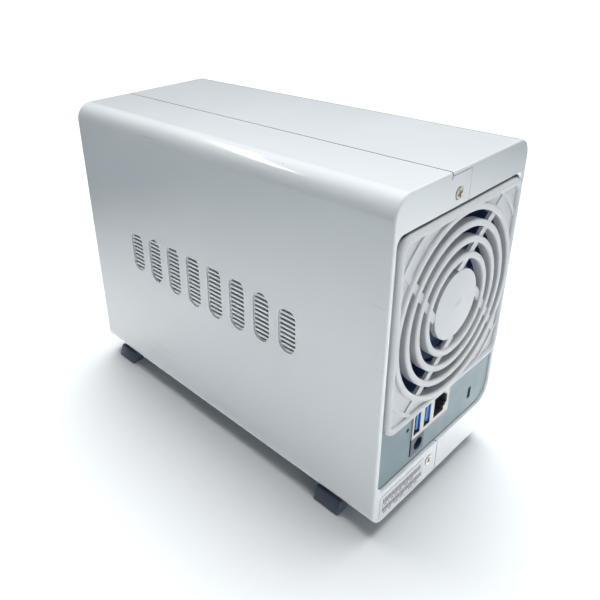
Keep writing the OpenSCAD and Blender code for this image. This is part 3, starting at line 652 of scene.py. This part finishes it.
def soften(node, width, body="chassis"):
    """Replaces a CAD node by its own shape with small rounded edges."""
    bm = bmesh.new()
    bm.from_mesh(nodes[node].data)
    bmesh.ops.scale(bm, vec=(MM, MM, MM), verts=bm.verts)
    bmesh.ops.remove_doubles(bm, verts=bm.verts, dist=0.005)
    bmesh.ops.dissolve_limit(bm, angle_limit=0.02, verts=bm.verts, edges=bm.edges)
    sharp = [e for e in bm.edges if len(e.link_faces) == 2 and e.calc_face_angle() > 0.6]
    bmesh.ops.bevel(bm, geom=sharp, offset=width, segments=2, affect="EDGES", profile=0.6,
                    clamp_overlap=True)
    made = piece(node + "_soft", bm, body, own_look.get(node, slot_of[node]), slot_of[node])
    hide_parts(node)


SMALL, MEDIUM, LARGE = 0.15, 0.2, 0.5  # widths of the rounded edges

soften("left_feet", LARGE)
soften("right_feet", LARGE, "cover")
for name in ("processor", "memory_chips", "controller_chips", "fan_plug", "fan_header", "cable_header",
             "light_emitters", "power_switch"):
    soften(name, SMALL)
soften("inductors", LARGE)
for name in ("riser_slot", "drive_connectors", "reset_switch", "buzzer"):
    soften(name, MEDIUM)


# ---------- board details ----------

def dome(bm, centre, radius, height, side):
    """A small blob of solder standing on a face of a board, side +1 or -1 along X."""
    levels, sides = 4, 10
    turn = [2 * math.pi * j / sides for j in range(sides)]
    rings = []
    for k in range(levels):
        a = math.pi / 2 * k / levels
        x, r = centre[0] + side * height * math.sin(a), radius * math.cos(a)
        rings.append([(x, centre[1] + r * math.cos(t), centre[2] + r * math.sin(t)) for t in turn])
    loft(bm, rings)


def make_legs():
    """Bent legs round the flat packages on the main board."""
    pitch, half_wide, thick = 0.8, 0.15, 0.13
    section = ((-half_wide, 0), (half_wide, 0), (half_wide, thick), (-half_wide, thick))
    path = [(0.45, -0.2), (0.45, 0.45), (0.08, 0.75), (0.08, 1.25)]  # height over the board, reach
    bm = bmesh.new()
    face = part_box("main_board")[0].x * MM
    for low, high in islands("controller_chips"):
        for along, out in ((1, 2), (2, 1)):
            for end, sign in ((low[out], -1), (high[out], 1)):
                count = int((high[along] - low[along] - 1) / pitch)
                for k in range(count):
                    middle = (low[along] + high[along]) / 2 + (k - (count - 1) / 2) * pitch
                    rings = []
                    for height, reach in path:
                        ring = [Vector((face - height - rise, 0, 0)) for _, rise in section]
                        for corner, (side, _) in zip(ring, section):
                            corner[along] = middle + side
                            corner[out] = end + sign * reach
                        rings.append(ring)
                    loft(bm, rings)
    piece("chip_legs", bm, "chassis", "solder")


def make_solder():
    """Solder blobs of the through-hole parts, on the outer face of the main board."""
    radius, height, lead_gap = 0.75, 0.5, 1.3
    bm = bmesh.new()
    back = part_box("main_board")[1].x * MM
    riser = [(y, 31 + 1.27 * k) for y in (50.6, 54.0) for k in range(18)]
    cans = []
    for low, high in islands("capacitors"):
        y, z = (low.y + high.y) / 2, (low.z + high.z) / 2
        cans += [(y, z - lead_gap), (y, z + lead_gap)]
    fan_pins = [(71.5 + 2.5 * k, 50.2) for k in range(3)]
    cable_pins = [(y, 28.6 + 2 * k) for y in (-54, -52) for k in range(5)]
    port_pins = [(y, 44.5 + 1.3 * k) for y in (90.5, 93, 95.5) for k in range(5)]
    jack_pins = [(95.5, 33.5), (95.5, 38), (99, 36)]
    buzzer_pins = [(-32, 49.2), (-26, 49.2)]
    cell_pins = [(-42, 42.6), (-42, 51.8)]
    for y, z in riser + cans + fan_pins + cable_pins + port_pins + jack_pins + buzzer_pins + cell_pins:
        dome(bm, (back - 0.02, y, z), radius, height, 1)
    piece("solder_points", bm, "chassis", "solder")


def grid(y0, z0, step_y, step_z, columns, rows):
    return [(y0 + step_y * i, z0 + step_z * j) for i in range(columns) for j in range(rows)]


def make_small_parts():
    """Tiny resistors and capacitors with tinned ends, on both faces of the main board."""
    low, high = (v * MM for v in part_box("main_board"))
    bodies, ends = bmesh.new(), bmesh.new()
    inner = grid(30, 24, 3.2, 3.6, 3, 7) + grid(-10, 21, 2.4, 3.4, 2, 9)
    inner += grid(58.5, 39, 3, 3, 3, 5) + grid(84.5, 25, 1, 3.2, 1, 6)
    outer = grid(20, 28, 3.4, 3.8, 7, 3) + grid(-14, 28, 3.4, 3.8, 4, 4) + grid(62, 27, 3.6, 4, 4, 3)
    # each part along its own length, in halves of it: a tinned end, the body, the other end
    sections = ((bodies, -0.56, 0.56), (ends, -1.0, -0.54), (ends, 0.54, 1.0))
    for spots, face, side in ((inner, low.x, -1), (outer, high.x, 1)):
        for n, spot in enumerate(spots):
            long, wide, tall = (1.6, 0.85, 0.5) if n % 3 else (2.0, 1.25, 0.8)
            along, across = (0, 1) if (n * 7) % 5 < 3 else (1, 0)
            x0, x1 = sorted((face - side * 0.02, face + side * tall))
            for bm, start, stop in sections:
                foot, top = list(spot), list(spot)
                foot[along] += start * long / 2
                top[along] += stop * long / 2
                foot[across] -= wide / 2
                top[across] += wide / 2
                block(bm, (x0, *foot), (x1, *top), 0.06)
    piece("small_part_bodies", bodies, "chassis", "smd_tan")
    piece("small_part_ends", ends, "chassis", "solder")


def make_cans():
    """Capacitor cans with a crimped neck and rounded shoulders."""
    sides = 32
    turn = [2 * math.pi * j / sides for j in range(sides)]
    bm = bmesh.new()
    for low, high in islands("capacitors"):
        y, z = (low.y + high.y) / 2, (low.z + high.z) / 2
        radius, base, top = (high.y - low.y) / 2, high.x, low.x
        outline = [(base, 0.96), (base - 0.5, 1), (base - 1.1, 1), (base - 1.45, 0.9), (base - 1.8, 1),
                   (top + 0.5, 1), (top + 0.15, 0.95), (top, 0.84), (top + 0.12, 0.8), (top + 0.12, 0.02)]
        loft(bm, [[(x, y + radius * s * math.cos(t), z + radius * s * math.sin(t)) for t in turn]
                  for x, s in outline])
    cans = piece("capacitor_cans", bm, "chassis", "capacitor_sleeve", "capacitor_sleeve")
    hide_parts("capacitors")


def make_contacts():
    """Gold contacts on the port tongues, in the riser slot and in the drive connectors."""
    edge = 0.05
    gold, plastic = bmesh.new(), bmesh.new()
    for low, high in islands("usb_tongues"):
        for k in range(4):
            z = low.z + 1.25 + 2.5 * k
            block(gold, (high.x - 0.05, high.y - 6.5, z - 0.5), (high.x + 0.1, high.y - 0.6, z + 0.5), edge)
    for low, high in islands("riser_slot"):
        for k in range(20):
            z = low.z + 2.6 + 1.06 * k
            for y0, y1 in ((low.y + 2.05, low.y + 2.4), (high.y - 2.0, high.y - 1.65)):
                block(gold, (low.x + 0.6, y0, z - 0.2), (low.x + 4.5, y1, z + 0.2), edge)
    for low, high in islands("drive_connectors"):
        for z0, z1, count in ((75.8, 89.6, 7), (92.8, 112.6, 15)):
            block(plastic, (low.x + 2.3, high.y - 7.6, z0), (low.x + 3.5, high.y - 2.1, z1), 0.2)
            for k in range(count):
                z = z0 + (z1 - z0) * (k + 0.5) / count
                strip = (low.x + 3.45, high.y - 7.2, z - 0.35), (low.x + 3.62, high.y - 2.2, z + 0.35)
                block(gold, *strip, edge)
    piece("contact_strips", gold, "chassis", "contact_gold")
    piece("drive_tongues", plastic, "chassis", "connector_black")


def rounded_path(points, radius, steps=8):
    """The corners of a line of points turned into arcs."""
    points = [Vector(p) for p in points]
    out = [points[0]]
    for a, b, c in zip(points, points[1:], points[2:]):
        reach = min(radius, (b - a).length * 0.48, (c - b).length * 0.48)
        start, stop = b + (a - b).normalized() * reach, b + (c - b).normalized() * reach
        for k in range(steps + 1):
            t = k / steps
            out.append(start.lerp(b, t).lerp(b.lerp(stop, t), t))
    return out + [points[-1]]


def tube(bm, path, radius):
    """A round wire along a path, with its section carried round without a twist."""
    sides = 12
    turn = [2 * math.pi * j / sides for j in range(sides)]
    rings, up = [], Vector((0.3, 0.2, 1)).normalized()
    for k, p in enumerate(path):
        ahead = (path[min(k + 1, len(path) - 1)] - path[max(k - 1, 0)]).normalized()
        across = ahead.cross(up).normalized()
        up = across.cross(ahead).normalized()
        rings.append([p + (across * math.cos(t) + up * math.sin(t)) * radius for t in turn])
    loft(bm, rings)


def make_fan_wires():
    """Three separate wires in place of the plain fan lead."""
    lead_r, wire_r, corner_r, gap = 1.3, 0.6, 4, 1.3
    low, high = (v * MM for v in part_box("fan_lead"))
    plug_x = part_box("fan_plug")[0].x * MM
    near_x, far_x, y = high.x - lead_r, low.x + lead_r, low.y + lead_r
    top, foot = high.z - lead_r, low.z + lead_r
    for k, look in enumerate(("wire_red", "wire_yellow", "lead_grey")):
        shift = (k - 1) * gap
        route = [(near_x + shift * 0.3, high.y, top + shift),
                 (near_x + shift * 0.3, y, top + shift),
                 (far_x, y + shift * 0.6, top + shift * 0.5),
                 (far_x, y + shift * 0.9, foot),
                 (plug_x + 0.3, y + shift, foot)]
        bm = bmesh.new()
        tube(bm, rounded_path(route, corner_r), wire_r)
        piece("fan_wire_%d" % (k + 1), bm, "chassis", look, "lead_grey")
    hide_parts("fan_lead")


make_legs()
make_solder()
make_small_parts()
make_cans()
make_contacts()
make_fan_wires()
